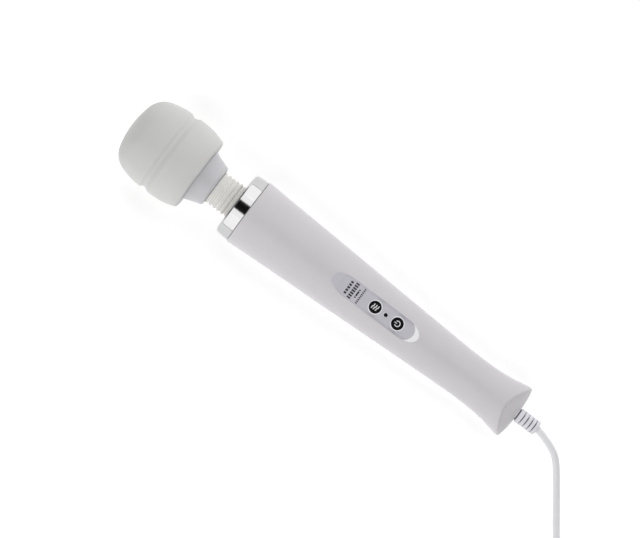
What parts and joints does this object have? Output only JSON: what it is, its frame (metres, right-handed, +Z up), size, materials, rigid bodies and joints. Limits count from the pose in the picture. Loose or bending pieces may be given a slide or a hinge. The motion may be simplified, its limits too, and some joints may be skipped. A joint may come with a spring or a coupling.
{
  "type": "handheld wand massager",
  "caption": "Mains wand massager: round soft head on a flexible ribbed neck, chrome ring, tapered oval handle with a recessed control panel, cord and two-pin plug.",
  "frame": {"origin": "centre of the bounding box on the floor, without the cord, coil and plug", "axes": "+Y towards the head along the wand, +Z up and out of the control panel, X across the handle"},
  "size_m": [0.1271, 0.521, 0.0606],
  "materials": {
    "head_silicone": "satin",
    "ivory_rubber": "satin",
    "handle_plastic": "satin",
    "collar_plastic": "satin",
    "chrome": "polished",
    "panel_plastic": "matt",
    "button_black": "gloss",
    "lens_black": "gloss",
    "inner_plastic": "matt",
    "steel": "brushed",
    "spring_steel": "satin",
    "brass": "turned",
    "black_rubber": "matt",
    "copper_wound": "wound",
    "board_green": "satin",
    "black_plastic": "matt",
    "blue_sleeve": "satin",
    "green_plastic": "matt",
    "lamp_resin": "clear",
    "lead_insulation": "satin",
    "cord_plastic": "satin"
  },
  "bodies": {
    "handle": {"chrome_ring": "chrome", "neck_flange": "inner_plastic", "front_shell": "handle_plastic", "rear_shell": "handle_plastic", "chassis": "inner_plastic", "shell_screws": "steel", "control_panel": "panel_plastic", "indicator_lens": "lens_black", "indicator_lamp": "lamp_resin", "circuit_board": "board_green", "board_screws": "steel", "switch_bodies": "black_plastic", "capacitor": "blue_sleeve", "terminal_block": "green_plastic", "motor_can": "steel", "motor_end_cap": "black_plastic", "motor_magnets": "black_plastic", "front_motor_mount": "black_rubber", "rear_motor_mount": "black_rubber", "motor_leads": "lead_insulation", "mains_leads": "lead_insulation", "clamp_base": "inner_plastic", "cord_clamp": "inner_plastic", "clamp_screws": "steel", "strain_relief": "cord_plastic", "power_cord": "cord_plastic", "cord_coil": "cord_plastic", "cord_tie": "black_rubber", "plug_lead": "cord_plastic", "plug_relief": "cord_plastic", "plug_body": "cord_plastic", "plug_pins": "chrome"},
    "mode_key": {"mode_button": "button_black", "mode_plunger": "inner_plastic"},
    "power_key": {"power_button": "button_black", "power_plunger": "inner_plastic"},
    "rotor": {"motor_shaft": "steel", "rotor_core": "copper_wound", "lower_coupler": "brass", "flexible_shaft": "spring_steel"},
    "neck": {"neck_boot_lower": "ivory_rubber", "neck_boot_upper": "ivory_rubber", "neck_spring": "spring_steel", "neck_guide": "inner_plastic"},
    "head": {"head_cap": "head_silicone", "head_housing": "inner_plastic", "head_collar": "collar_plastic", "head_screws": "steel", "upper_bearing": "steel", "lower_bearing": "steel"},
    "eccentric": {"eccentric_shaft": "steel", "eccentric_weight": "steel", "upper_coupler": "brass"}
  },
  "joints": [
    {"name": "neck_pitch", "type": "hinge", "parent": "handle", "child": "neck", "pos_m": [0, 0.08692, 0.02789], "axis": [1, 0, 0], "range_deg": [-15, 15], "stiffness_Nm_per_rad": 5, "deforming": ["neck_boot_lower", "neck_spring", "flexible_shaft"]},
    {"name": "neck_sway", "type": "hinge", "parent": "neck", "child": "head", "pos_m": [0, 0.09531, 0.02831], "axis": [0, -0.0497, 0.9988], "range_deg": [-15, 15], "stiffness_Nm_per_rad": 5, "deforming": ["neck_boot_upper"]},
    {"name": "mode_press", "type": "slide", "parent": "handle", "child": "mode_key", "axis": [0, 0.0497, -0.9988], "range_m": [0, 0.0006], "stiffness_N_per_m": 1500},
    {"name": "power_press", "type": "slide", "parent": "handle", "child": "power_key", "axis": [0, 0.0497, -0.9988], "range_m": [0, 0.0006], "stiffness_N_per_m": 1500},
    {"name": "rotor_spin", "type": "hinge", "parent": "handle", "child": "rotor", "pos_m": [0, 0.03559, 0.02534], "axis": [0, 0.9988, 0.0497], "continuous": true},
    {"name": "eccentric_spin", "type": "hinge", "parent": "head", "child": "eccentric", "pos_m": [0, 0.13746, 0.03041], "axis": [0, 0.9988, 0.0497], "continuous": true}
  ],
  "couplings": [
    {"joint": "rotor_spin", "follows": "eccentric_spin", "ratio": 1}
  ]
}
